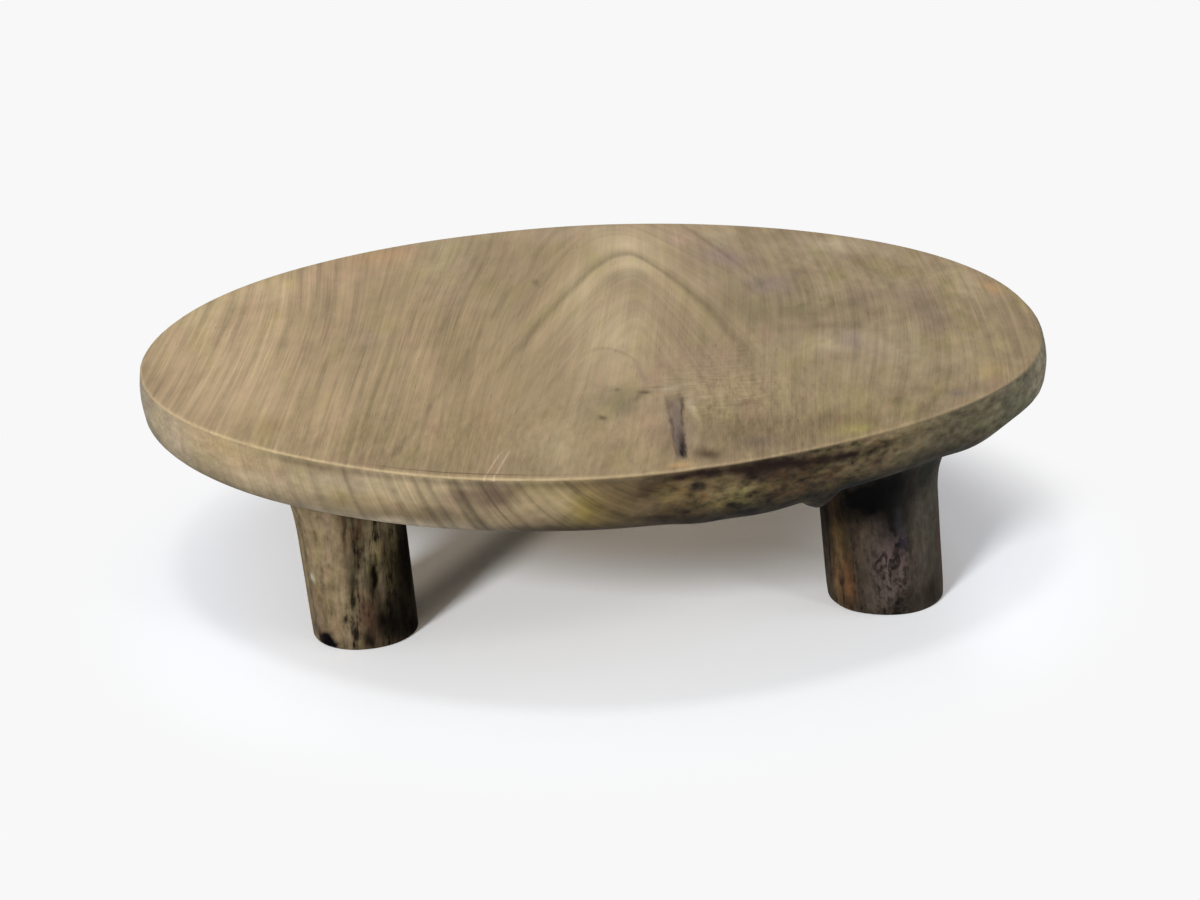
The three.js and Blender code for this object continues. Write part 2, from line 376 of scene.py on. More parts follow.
# Angles run from the side of the leg that faces the front, and grow to the right
LEFT_WOOD = (116, 101, 78)
LEFT_STAINS = make_stains(
    (72, 34, 46, 60, (46, 37, 26), 0.95),
    (130, 30, 50, 60, (84, 68, 50), 0.7),
    (-32, 40, 14, 30, (128, 111, 83), 0.7),
    (-24, 50, 4, 14, (134, 112, 94), 0.7, 0.25),
    (-54, 31, 5, 2.4, (180, 170, 150), 0.9),
    (-50, 18, 9, 10, (110, 90, 72), 0.6),
    (-62, 30, 6, 40, (100, 90, 70), 0.6),
    (-6, 58, 4, 12, (88, 72, 50), 0.7, 0.25),
    (-3, 40, 7, 30, (76, 64, 47), 0.7, 0.25),
    (-3, 54, 2.4, 10, (34, 24, 14), 0.85, 0.25, 0.3),
    (6, 58, 2, 7, (40, 28, 18), 0.75, 0.25, 0.25),
    (-1, 34, 4, 6, (66, 70, 50), 0.6, 0.25),
    (-4, 26, 2.4, 8, (30, 24, 16), 0.85, 0.25, 0.35),
    (16, 50, 4, 8, (60, 50, 34), 0.6, 0.25),
    (26, 44, 6, 8, (118, 108, 66), 0.85, 0.25),
    (12, 52, 4, 11, (56, 40, 26), 0.85, 0.25, 0.25),
    (26, 54, 5, 7, (112, 100, 74), 0.7, 0.25),
    (38, 56, 6, 5, (128, 116, 92), 0.6),
    (50, 42, 7, 20, (82, 75, 50), 0.75, 0.1),
    (37, 45, 3, 5, (44, 34, 24), 0.8, 0.25, 0.2),
    (12, 36, 3.5, 13, (122, 112, 88), 0.7, 0.25),
    (28, 29, 4, 9, (108, 96, 78), 0.7, 0.25),
    (5, 45, 3.5, 9, (58, 48, 32), 0.8, 0.25, 0.2),
    (42, 40, 6, 14, (84, 74, 48), 0.6, 0.25),
    (10, 14, 8, 8, (78, 54, 40), 0.7),
    (20, 17, 4, 7, (48, 34, 26), 0.6, 0.25),
    (34, 13, 5, 7, (16, 11, 8), 0.9, 0.25, 0.35),
    (48, 16, 12, 9, (28, 25, 20), 0.8),
    (78, 46, 10, 16, (16, 8, 8), 0.8),
    (72, 30, 12, 22, (6, 3, 2), 0.95),
    (8, 14, 8, 8, (62, 44, 32), 0.8),
    (38, 8, 28, 13, (14, 10, 8), 0.95),
    (56, 34, 20, 13, (20, 13, 8), 0.85),
    (-45, 2.5, 12, 3.2, (8, 6, 7), 2.2, -1.5, 0.3),
    (4, 4, 8, 5, (18, 12, 9), 0.95, 0, 0.3),
    (22, 12, 8, 6, (14, 9, 6), 0.9),
    (7, 16, 5, 7, (100, 74, 58), 0.6),
    (66, 3, 20, 6, (10, 8, 8), 0.95),
    (-13, 10, 7, 7, (134, 116, 92), 0.85),
    (-13, 17, 5, 15, (134, 118, 92), 0.55),
    (25, 48, 5, 6, (130, 115, 88), 0.85, 0.25),
    (12, 31, 4, 7, (46, 37, 27), 0.6, 0.25),
    (19, 31, 3.4, 8, (14, 9, 5), 1.3, 0.25, 0.4),
    (48, 48, 6, 6, (110, 99, 73), 0.85),
    (-50, 23, 8, 5, (98, 80, 60), 0.6),
    (-64, 9, 9, 6, (72, 62, 52), 0.7),
    (150, 40, 4, 12, (34, 26, 18), 0.8, 0, 0.3),
    (-120, 30, 5, 16, (70, 56, 40), 0.7, 0, 0.2),
    (-150, 20, 4, 9, (40, 30, 20), 0.8, 0, 0.3),
)

RIGHT_WOOD = (60, 52, 43)
RIGHT_STAINS = make_stains(
    (-58, 34, 13, 70, (76, 58, 38), 0.9),
    (-56, 54, 7, 9, (66, 42, 28), 0.8),
    (-58, 31, 6, 9, (100, 80, 50), 0.8),
    (-48, 13, 8, 10, (104, 70, 44), 0.8),
    (-66, 12, 6, 10, (112, 86, 58), 0.7),
    (-72, 44, 5, 8, (22, 9, 3), 0.8),
    (-28, 33, 6, 10, (92, 78, 62), 0.7),
    (-30, 12, 8, 10, (64, 55, 44), 0.7),
    (-8, 26, 16, 26, (46, 39, 35), 0.75),
    (-36, 44, 26, 7, (26, 21, 15), 0.8),
    (-16, 36, 8, 12, (74, 62, 58), 0.6),
    (-15, 20, 5, 5, (40, 30, 26), 0.7, 0, 0.2),
    (-18, 52, 30, 6, (4, 4, 3), 1.8),
    (4, 56, 24, 7, (6, 6, 7), 1.6),
    (28, 57, 16, 9, (20, 20, 20), 0.9),
    (56, 50, 14, 10, (84, 84, 72), 0.7),
    (5, 50, 8, 6, (24, 24, 25), 0.7),
    (2, 34, 7, 11, (22, 19, 23), 0.9, 0.2, 0.2),
    (-47, 25, 5, 11, (44, 34, 19), 0.75),
    (16, 51, 20, 11, (16, 16, 17), 0.75),
    (26, 4, 26, 5, (28, 21, 16), 0.85, 0, 0.1),
    (10, 34, 4, 9, (46, 42, 58), 0.7, 0, 0.2),
    (17, 34, 1.3, 60, (30, 27, 24), 0.8, 0, 0.25),
    (44, 30, 22, 70, (74, 69, 60), 0.85),
    (64, 24, 7, 16, (80, 54, 42), 0.6),
    (44, 5, 14, 5, (40, 32, 24), 0.7, 0, 0.2),
    (-48, 3, 4, 2.5, (30, 22, 16), 0.8, 0, 0.4),
    (-5, 2.5, 5, 2, (34, 26, 20), 0.8, 0, 0.4),
    (1, 34, 6, 8, (6, 5, 8), 0.85),
    (-10, 8, 15, 7, (100, 87, 77), 0.6),
    (44, 7, 13, 9, (36, 28, 21), 0.65),
    (40, 62, 15, 8, (30, 32, 27), 0.8),
    (130, 30, 30, 60, (90, 76, 58), 0.7),
    (-130, 34, 30, 60, (84, 68, 48), 0.7),
    (160, 34, 4, 14, (30, 24, 18), 0.8, 0, 0.3),
    (-150, 46, 5, 9, (36, 28, 20), 0.8, 0, 0.3),
)


def leg_stain(leg, places):
    """The leg's stains, with where its places stand for them: an angle and a height."""
    x, y, height = (places * MILLIMETRES).T
    foot = leg_axes(leg)[0] * MILLIMETRES
    across, along = x - foot[0] - leg.lean[0] * height, y - foot[1] - leg.lean[1] * height
    angle = np.degrees(np.arctan2(across, -along))
    wood, stains = (RIGHT_WOOD, RIGHT_STAINS) if leg.name == "leg_front_right" else (LEFT_WOOD, LEFT_STAINS)
    return wood, wrapped(angle + leg.turned), height, stains


def wrapped(degrees):
    """An angle between -180 and 180."""
    return (degrees + 180) % 360 - 180


def covered(stain, across, along, around=False):
    """How fully a stain covers each place, from 0 to 1."""
    gap = across - stain.across
    if around:
        gap = wrapped(gap)
    aside = (gap - stain.lean * (along - stain.along)) / stain.width
    return np.exp(-aside ** 2 - ((along - stain.along) / stain.length) ** 2)


def stained(wood, across, along, stains, around=False):
    """Colours of the wood, with its stains laid over it one after another."""
    color = np.tile(linear(*wood)[:3], (len(across), 1))
    for stain in stains:
        share = np.minimum(stain.share * covered(stain, across, along, around), 1)
        color += share[:, None] * (np.array(linear(*stain.color)[:3]) - color)
    return color


def dents(across, along, stains, around=False):
    """How deep the stains' dents are, in metres."""
    marked = [stain for stain in stains if stain.depth]
    return sum(stain.depth * covered(stain, across, along, around) for stain in marked) / MILLIMETRES


# Rough surfaces

def face_relief(x, y):
    """How far the face of the top stands above flat."""
    places = np.stack((x, y, np.zeros_like(x)), 1)
    waves = FACE_WAVES * rough(places, (0.05, 0.09, 1), 1)
    return waves - FACE_WORN - dents(x * MILLIMETRES, y * MILLIMETRES, FACE_STAINS)


def rim_relief(places):
    """How far the rim stands out from its fair curve: broad tool flats, and roughness."""
    flats = RIM_FLATS * rough(places, (0.028, 0.028, 0.045), 2)
    return flats + ROUGHNESS * rough(places, (0.006, 0.006, 0.006), 3)


# Meshes made of rings

def stitched(counts):
    """Faces that join rings of points. A ring has as many points as the next, half as many or twice
    as many, and the first and last are single points."""
    faces = []
    first = 0
    for low, high in zip(counts, counts[1:]):
        second = first + low
        for step in range(min(low, high) if min(low, high) > 1 else max(low, high)):
            after = step + 1
            if low == high:
                faces.append((first + step, first + after % low, second + after % high, second + step))
            elif low == 1:
                faces.append((first, second + after % high, second + step))
            elif high == 1:
                faces.append((first + step, first + after % low, second))
            elif low > high:
                edge = [first + 2 * step, first + 2 * step + 1, first + (2 * step + 2) % low]
                faces.append((*edge, second + after % high, second + step))
            else:
                edge = [second + (2 * step + 2) % high, second + 2 * step + 1, second + 2 * step]
                faces.append((first + step, first + after % low, *edge))
        first = second
    return faces


def piece(name, rings, attributes, material):
    """An object of stitched rings of points, with numbers or colours that its finish reads at each."""
    mesh = bpy.data.meshes.new(name)
    mesh.from_pydata(np.concatenate(rings), [], stitched([len(ring) for ring in rings]))
    mesh.materials.append(material)
    for label, values in attributes.items():
        values = np.asarray(values, np.float32)
        if values.ndim == 1:
            mesh.attributes.new(label, "FLOAT", "POINT").data.foreach_set("value", values)
        else:
            opaque = np.concatenate((values, np.ones((len(values), 1), np.float32)), 1)
            mesh.attributes.new(label, "FLOAT_COLOR", "POINT").data.foreach_set("color", opaque.ravel())
    mesh.shade_smooth()
    made = bpy.data.objects.new(name + "_wood", mesh)
    bpy.context.scene.collection.objects.link(made)
    return made


def top_angles():
    """Directions round the top, closer together where the slit in its face runs."""
    low, high = np.radians(SLIT_SIDES)
    slit = np.linspace(low, high, SLIT_STEPS, endpoint=False)
    rest = np.linspace(high, low + 2 * math.pi, TOP_STEPS, endpoint=False)
    return np.concatenate((slit, rest))


def top_section(angle):
    """Rings of the top from the middle of its underside, round the rim, to the middle of its face:
    each ring's radius, its height above the legs, and how far it is past the upper edge, which is
    less than nothing on the face and 20 mm more underneath."""
    wear = EDGE_WEAR + EDGE_UNEVEN * rough(np.stack((np.cos(angle), np.sin(angle), 0 * angle), 1), 0.35, 4)
    wear += CORNER_WEAR * np.exp(-((angle - CORNER_SIDE) / CORNER_WIDTH) ** 2)
    flat = TOP_RADIUS - LOWER_EDGE_WIDTH
    around = np.ones_like(angle)
    underneath = (TOP_THICKNESS + 0.02) * around
    for out in np.linspace(0, 1, UNDERSIDE_RINGS):
        yield out * flat * around, UNDERSIDE_CROWN * (out * out - 1) * around, underneath
    for turn in np.linspace(0, math.pi / 2, LOWER_EDGE_RINGS)[1:]:
        radius, height = lower_edge(turn)
        yield radius * around, height * around, (TOP_THICKNESS - height) * around
    for rise in np.linspace(0, 1, RIM_RINGS)[1:]:
        height = LOWER_EDGE_HEIGHT + rise * (TOP_THICKNESS - LOWER_EDGE_HEIGHT - wear)
        yield TOP_RADIUS + RIM_BELLY * (1 - (2 * rise - 1) ** 2) * around, height, TOP_THICKNESS - height
    for turn in np.linspace(0, math.pi / 2, UPPER_EDGE_RINGS)[1:]:
        radius = TOP_RADIUS - wear * (1 - math.cos(turn))
        height = TOP_THICKNESS - wear * (1 - math.sin(turn))
        yield radius, height, TOP_THICKNESS - height - wear * (1 - math.cos(turn))
    outer = np.linspace(1, INNER_FACE, FACE_RINGS)[1:]
    for inward in np.concatenate((outer, np.linspace(INNER_FACE, 0, INNER_FACE_RINGS)[1:])):
        radius = (TOP_RADIUS - wear) * inward
        yield radius, TOP_THICKNESS * around, radius - TOP_RADIUS


def make_top(material):
    """The top, from its section, with fewer points round the small rings near the middle."""
    angle = top_angles()
    rings, distances = [], []
    for radius, height, distance in top_section(angle):
        reach = radius * share_at(angle, height)
        ring = np.stack((reach * np.cos(angle), reach * np.sin(angle), height), 1)
        every = 1
        while every < MOST_SKIPPED and radius.max() < FULL_RING / every:
            every *= 2
        if radius.max() < 1e-6:
            every = len(ring)
        rings.append(ring[::every])
        distances.append(distance[::every])

    # Set on the legs, with lumps under its edge and relief on its face and its rim
    places = np.concatenate(rings)
    x, y, low = places.T
    lowered = sag(np.arctan2(y, x), np.hypot(x, y), low)
    places[:, :2] -= MIDDLE
    places[:, 2] += LEG_HEIGHT
    distance = np.concatenate(distances)
    reach = np.hypot(places[:, 0], places[:, 1])[:, None]
    outward = places[:, :2] / np.maximum(reach, 1e-6)
    height = places[:, 2] - LEG_HEIGHT
    face = np.clip((height - TOP_THICKNESS + FACE_BAND) / FACE_FADE, 0, 1)
    rim = np.clip(height / LOWER_EDGE_HEIGHT, 0, 1) * (1 - face)
    attributes = {"edge": distance * MILLIMETRES, "stain": top_stain(places, distance * MILLIMETRES)}
    places[:, 2] += face * face_relief(places[:, 0], places[:, 1]) - lowered
    places[:, :2] += outward * (rim * rim_relief(places))[:, None]
    splits = np.cumsum([len(ring) for ring in rings])[:-1]
    return piece("top_slab", np.split(places, splits), attributes, material)


def top_stain(places, past):
    """Colours of the top's wood: its face and its rim, each with its own stains, and its underside, with
    painted shade near the rim over the front right leg.
    """
    x, y, height = (places - (0, 0, LEG_HEIGHT)).T * MILLIMETRES
    stray = rough(places, (0.016, 0.05, 0.016), 5)
    face = stained(FACE_WOOD, x + 3 * stray, y + 6 * rough(places, (0.02, 0.05, 0.02), 6), FACE_STAINS)
    angle = np.degrees(np.arctan2(y, x))
    rim = stained(RIM_WOOD, angle + stray, height + 2 * rough(places, 0.012, 7), RIM_STAINS, around=True)
    rim *= 0.83 - 0.42 * np.clip(1.25 - height / 11, 0, 1)[:, None]
    # Painted shade: the underside grows darker near the rim over the front right leg.
    painted_shade_over_right_leg = np.exp(-((angle + 62) / 24) ** 2) * np.clip(np.hypot(x, y) / 30 - 5, 0, 1)
    under = np.outer(1 - 0.8 * painted_shade_over_right_leg, linear(*UNDERSIDE_WOOD)[:3])
    outside = np.clip((past + 0.5) / 1.5, 0, 1)[:, None]
    below = np.clip((past - 22) / 6, 0, 1)[:, None]
    return (face * (1 - outside) + rim * outside) * (1 - below) + under * below


# Shape of a leg

def leg_axes(leg):
    """Where a leg stands, the directions across it and up it, and how long it is."""
    diagonal = math.radians(leg.diagonal)
    foot = Vector((math.cos(diagonal), math.sin(diagonal), 0)) * LEG_CIRCLE * leg.place
    up = Vector((*leg.lean, 1))
    turn = Vector((0, 0, 1)).rotation_difference(up)
    across, along = turn @ Vector((1, 0, 0)), turn @ Vector((0, 1, 0))
    length = LEG_HEIGHT * up.length
    return np.array(foot), np.array(across), np.array(along), np.array(up.normalized()), length


def make_leg(leg, material):
    """A leg, from the middle of its sole up to the end of its tenon."""
    foot, across, along, up, length = leg_axes(leg)
    angle = np.linspace(0, 2 * math.pi, LEG_STEPS, endpoint=False)
    spoke = np.cos(angle)[:, None] * across + np.sin(angle)[:, None] * along
    around = np.ones(LEG_STEPS)

    def at(radius, rise):
        """A ring of places, radius away from the leg's middle line and rise along it."""
        return foot + np.asarray(radius)[..., None] * spoke + np.asarray(rise)[..., None] * up

    def rise_to(radius, height_of):
        """How far along the leg a ring of that radius meets a surface."""
        rise = np.zeros(LEG_STEPS)
        for _ in range(LEG_TRIES):
            here = at(radius, rise)
            rise = rise + (height_of(here[:, 0], here[:, 1]) - here[:, 2]) / up[2]
        return rise

    def ground(x, y):
        return 0 * x

    def shoulder(x, y):
        return underside_height(x, y) - SEAT_GAP

    foot_radius = FOOT_RADIUS * leg.girth
    head_radius = HEAD_RADIUS * leg.girth
    spread = FLARE_WIDTH * leg.flare
    lip = leg.lip * (1 + 0.9 * np.maximum(0, np.cos(angle - LIP_SIDE)) ** 2)
    flared = head_radius + spread + lip
    seed = leg.diagonal
    wear = FOOT_WEAR + FOOT_UNEVEN * rough(at(foot_radius * around, 0), 0.012, seed)
    rings = [at(0 * around, rise_to(0 * around, ground))[:1]]
    for inward in np.linspace(0, 1, SOLE_RINGS)[1:]:
        radius = (foot_radius - wear) * inward
        rings.append(at(radius, rise_to(radius, ground)))
    for turn in np.linspace(0, math.pi / 2, FOOT_EDGE_RINGS)[1:-1]:
        radius = foot_radius - wear * (1 - math.sin(turn))
        rings.append(at(radius, rise_to(radius, lambda x, y: wear * (1 - math.cos(turn)))))
    start = rise_to(foot_radius * around, lambda x, y: wear)
    end = rise_to(flared, shoulder)

    # Its side, tapered and then flared
    for share in np.linspace(0, 1, LEG_RINGS):
        rise = start + share * (end - start)
        straight = foot_radius + (head_radius - foot_radius) * np.minimum(1, rise / (length - FLARE_HEIGHT))
        curve = np.clip((rise - length + FLARE_HEIGHT) / FLARE_HEIGHT, 0, 1.1)
        radius = straight + spread * curve ** 2 + lip * np.minimum(curve, 1) ** 5
        ring = at(radius, rise)
        ends = min(1, 12 * share + 0.2, 12 * (1 - share))
        local = ring - foot
        relief = LEG_FLATS * rough(local, (0.011, 0.011, 0.05), seed)
        relief = relief + ROUGHNESS * rough(local, (0.003, 0.003, 0.03), seed + 1)
        _, turned, height, stains = leg_stain(leg, ring)
        relief = relief - dents(turned, height, stains, around=True)
        rings.append(ring + (relief * ends)[:, None] * spoke)

    # Its shoulder and its tenon
    for share in np.linspace(0, 1, SHOULDER_RINGS)[1:]:
        radius = flared + share * (TENON_RADIUS - flared)
        rings.append(at(radius, rise_to(radius, shoulder)))
    tenon_end = length + TENON_LENGTH
    chamfer = ((TENON_RADIUS, tenon_end - TENON_CHAMFER), (TENON_RADIUS - TENON_CHAMFER, tenon_end))
    for radius, rise in chamfer:
        rings.append(at(radius * around, rise * around))
    rings.append(at(0 * around, tenon_end * around)[:1])

    # Its stains, with plain end grain on the sole
    places = np.concatenate(rings)
    wood, turned, height, stains = leg_stain(leg, places)
    ragged = rough(places, (0.003, 0.003, 0.005), seed + 3)
    turned = turned + 2.5 * rough(places, (0.006, 0.006, 0.02), seed) + 3 * ragged
    height = height + 2 * rough(places, 0.01, seed + 2) + 2.5 * rough(places, 0.0035, seed + 4)
    color = stained(wood, turned, height, stains, around=True)
    out = np.hypot(places[:, 0] - foot[0], places[:, 1] - foot[1]) / foot_radius
    sole = (np.clip((0.92 - out) / 0.1, 0, 1) * (places[:, 2] < 0.0001))[:, None]
    color += sole * (0.6 * np.array(linear(*wood)[:3]) - color)
    return piece(leg.name, rings, {"stain": color}, material)


def cut_mortises(top):
    """Blind round holes in the underside, in line with each leg's lean."""
    for leg in LEGS:
        foot, across, along, up, length = leg_axes(leg)
        angle = np.linspace(0, 2 * math.pi, MORTISE_STEPS, endpoint=False)
        spoke = np.cos(angle)[:, None] * across + np.sin(angle)[:, None] * along
        low = foot + up * (length - CUTTER_OVERRUN)
        high = foot + up * (length + TENON_LENGTH + GLUE_ROOM)
        wide = spoke * (TENON_RADIUS + SEAT_GAP)
        cutter = piece(leg.name + "_cutter", [low[None], low + wide, high + wide, high[None]], {}, None)
        cut = top.modifiers.new("mortise", "BOOLEAN")
        cut.operation = "DIFFERENCE"
        cut.solver = "MANIFOLD"
        cut.object = cutter
        with bpy.context.temp_override(object=top, active_object=top):
            bpy.ops.object.modifier_apply(modifier=cut.name)
        bpy.data.objects.remove(cutter)


# Finishes, written as formulas over the wood

class Value:
    """A number that a shader node gives, so that a formula over it reads as one."""

    def __init__(self, graph, socket):
        self.graph = graph
        self.socket = socket

    def __add__(self, other):
        return self.graph.math("ADD", self, other)

    def __sub__(self, other):
        return self.graph.math("SUBTRACT", self, other)

    def __rsub__(self, other):
        return self.graph.math("SUBTRACT", other, self)

    def __mul__(self, other):
        return self.graph.math("MULTIPLY", self, other)

    def __truediv__(self, other):
        return self.graph.math("DIVIDE", self, other)

    __radd__ = __add__
    __rmul__ = __mul__


class Graph:
    """A material's nodes. Sockets are given a number, a colour or another node's Value."""

    def __init__(self, name):
        self.material = bpy.data.materials.new(name)
        self.material.use_nodes = True
        self.tree = self.material.node_tree
        self.tree.nodes.clear()

    def node(self, kind, inputs, **settings):
        made = self.tree.nodes.new("ShaderNode" + kind)
        for name, value in settings.items():
            setattr(made, name, value)
        for name, value in inputs.items():
            if isinstance(value, Value):
                self.tree.links.new(value.socket, made.inputs[name])
            else:
                made.inputs[name].default_value = value
        return made

    def value(self, kind, output, inputs, **settings):
        return Value(self, self.node(kind, inputs, **settings).outputs[output])

    def math(self, operation, first, second=0.0):
        return self.value("Math", 0, {0: first, 1: second}, operation=operation)

    def place(self):
        """Where a point of the surface is, in millimetres, as three values."""
        metres = self.value("TexCoord", "Object", {})
        scaled = self.value("VectorMath", 0, {0: metres, 1: (MILLIMETRES,) * 3}, operation="MULTIPLY")
        parts = self.node("SeparateXYZ", {0: scaled})
        return [Value(self, parts.outputs[axis]) for axis in range(3)]

    def vector(self, x, y, z):
        return self.value("CombineXYZ", 0, {0: x, 1: y, 2: z})

    def noise(self, x, y=0.0, z=0.0, detail=2.0, roughness=0.5):
        """Noise about 0, mostly from -1 to 1, whose lumps are about as long as 1 of its numbers."""
        inputs = {"Vector": self.vector(x, y, z), "Scale": 1.0, "Detail": detail, "Roughness": roughness}
        return (self.value("TexNoise", 0, inputs) - 0.5) * 3

    def ramp(self, value, low, high):
        """0 up to low and 1 from high on, smooth between."""
        inputs = {"Value": value, "From Min": low, "From Max": high}
        return self.value("MapRange", 0, inputs, interpolation_type="SMOOTHSTEP")

    def bell(self, value, middle, half):
        """1 at the middle, falling smoothly to 0 at half a width either side."""
        return self.ramp(self.math("ABSOLUTE", value - middle), half, 0.0)

    def mix(self, share, first, second, blend="MIX"):
        inputs = {0: share, 6: first, 7: second}
        return self.value("Mix", 2, inputs, data_type="RGBA", blend_type=blend, clamp_factor=True)

    def tinted(self, color, share, *tint):
        """A colour whose red, green and blue are multiplied by a tint's, as far as the share says."""
        return self.mix(share, color, (*tint, 1), blend="MULTIPLY")

    def scale(self, color, factor):
        """A colour made lighter or darker."""
        return self.value("VectorMath", 0, {0: color, "Scale": factor}, operation="SCALE")

    def finish(self, color, roughness, height, depth, gloss):
        """Bare wood of that colour, with the grain standing up to depth proud, in metres."""
        bump = self.value("Bump", 0, {"Strength": 1.0, "Distance": depth, "Height": height})
        inputs = {"Base Color": color, "Roughness": roughness, "Specular IOR Level": gloss, "Normal": bump}
        shader = self.node("BsdfPrincipled", inputs)
        output = self.node("OutputMaterial", {})
        self.tree.links.new(shader.outputs[0], output.inputs[0])
        return self.material


def top_wood():
    """The top's finish, with growth rings on its face and cups of grain on its rim."""
    graph = Graph("top_wood")
    ramp, bell = graph.ramp, graph.bell
    x, y, z = graph.place()
    past = graph.value("Attribute", "Fac", {}, attribute_name="edge")
    color = graph.value("Attribute", "Color", {}, attribute_name="stain")
    rim = ramp(past, 0.3, 2)
    end_grain = rim * ramp(graph.math("ABSOLUTE", y), 60, 170)
    front = ramp(y, 20, -30)
    uneven = ramp(graph.noise(x / 14, y / 40, z / 14), -0.8, 0.6)

    # The fibres run front to back, and lean more on the right
    wander = graph.noise(x / 60, y / 200, z / 60, 0)
    middle = ramp(x, -130, -30)
    right_side = ramp(x, 30, 120)
    lean = 0.05 + 0.1 * middle
    bend = 0.00015 - 0.00012 * middle + 0.0004 * right_side
    fibre = x - y * (lean - bend * y) + 3 * wander
    streaks = graph.noise(fibre / 3.2, y / 170, z / 3.2, 4, 0.7)
    hairs = graph.noise(fibre / 0.8, y / 60, z / 0.8, 1)
    broad = graph.noise(fibre / 9, y / 220, z / 9)
    pores = ramp(graph.noise(fibre / 0.5, y / 12, z / 0.5, 1), 0.6, 0.95)
    mottle = graph.noise(fibre / 8, y / 20, z / 8, 3, 0.6)
    ripple_room = bell(x, 45, 38) * bell(y, -100, 75)
    ripples = graph.noise(x / 7, y / 2.6, 2) * ripple_room
    worn = ramp(y, -60, -140) * (1 - rim)
    lively = bell(x, 52, 45) * ramp(y, 0, -40) * (1 - rim)
    specks = graph.noise(fibre / 2.2, y / 13, 6, 2, 0.6)

    # The growth rings make pointed arches round a line up the middle. level is how far up that
    # line an arch has its point, and gap how far a place is outside the darkest of them.
    from_line = x - (20 + 0.1 * y - 0.0002 * y * y) + 2.5 * wander + 0.8 * graph.noise(x / 9, y / 30, 5)
    on_right = graph.math("GREATER_THAN", from_line, 0)
    aside = graph.math("SQRT", from_line * from_line + 12) - 3.46
    drop = (0.22 + 1.35 * on_right) * graph.math("POWER", aside, 1.7 - 0.45 * on_right)
    level = y + drop
    steep = 3.4 + 0.06 * aside
    gap = (level - 131) / steep
    on_face = (1 - rim) * ramp(y, -95, -25)
    arch = bell(gap, 0, 2.7) * on_face * (0.65 + 0.35 * uneven)
    pale = (bell(gap, -5, 4.5) + 0.6 * bell(gap, 6.5, 5)) * on_face
    faint = bell(level, 28, 18) + bell(level, -40, 16)
    faint = faint * ramp(aside, 45, 20) * (1 - rim)
    outer = bell((level - 268) / steep, 0, 2.6) + 0.6 * bell((level - 205) / steep, 0, 1.6)
    outer = outer * (1 - on_right) * (1 - rim) * uneven
    outer = outer + bell((level - 300) / steep, 0, 2.2) * on_right * ramp(y, 40, 80)
    nested = graph.math("POWER", graph.math("ABSOLUTE", x - 2), 2.2) * 0.075
    nested = bell(y + 35 + nested, 0, 5) * ramp(x, -12, -2) * ramp(x, 17, 14)
    bands = graph.noise(gap / 3.2, y / 260, 0, 3, 0.65)

    # On the rim the same rings show as cups round a line above the face
    depth = 45 + 0.06 * y + (TABLE_HEIGHT * MILLIMETRES - z)
    across = x - 14 + 3 * wander
    ring = graph.math("SQRT", across * across + depth * depth)
    cups = graph.noise(ring / 4.2, x / 90, y / 90, 3, 0.7)
    right_front = ramp(x, -10, 30) * front
    blotches = graph.noise(x / 6, y / 8, z / 3, 2.5, 0.55)
    bold = (1.35 - 0.8 * ramp(x, 70, 125)) * right_front * ramp(past, 40, 26)

    near_line = ramp(aside, 85, 30) * (1 - rim)
    inside = near_line * ramp(level, -70, 30)
    calm = (1 - 0.6 * near_line) * (1 - 0.3 * right_side) * (1 - 0.75 * end_grain)
    grain = 0.36 * streaks * calm + 0.12 * hairs * calm + 0.14 * broad + 0.3 * ripples
    grain = grain + 0.22 * inside * bands + mottle * (0.15 + 0.14 * right_side) * (1 - 0.6 * inside)
    grain = grain + specks * (0.2 * worn + 0.16 * lively)
    far_left = ramp(x, -80, -115)
    grain = grain + 0.75 * cups * end_grain * (1 - 0.7 * right_front) * (1 - 0.35 * far_left)
    grain = grain + (0.22 + bold) * blotches * rim
    lines = 0.25 * arch - 0.17 * pale + 0.08 * faint + 0.2 * outer + 0.15 * nested
    tone = 1.09 + grain - lines - 0.22 * pores * (1 - end_grain)
    color = graph.scale(color, graph.math("MAXIMUM", tone, 0.15))
    tint = graph.noise(fibre / 12, y / 50, z / 12)
    color = graph.tinted(color, ramp(tint, 0, 1), 1, 0.93, 0.98)
    color = graph.tinted(color, ramp(tint, 0, -1), 0.96, 1, 0.84)
    patch = graph.noise(x / 22, y / 40, z / 12 + 4) + 0.3 * mottle
    color = graph.tinted(color, ramp(patch, 0.1, 0.8) * right_side, 0.88, 0.85, 0.93)
    color = graph.tinted(color, ramp(patch, -0.2, -0.8) * right_side, 0.93, 0.97, 0.84)
    ruddy = graph.noise(x / 5, y / 5, z / 4 + 6)
    color = graph.tinted(color, ramp(ruddy, 0, 0.6) * bold * rim, 1, 0.86, 0.76)
    color = graph.tinted(color, ramp(ruddy, 0, -0.6) * bold * rim, 0.97, 1, 0.82)

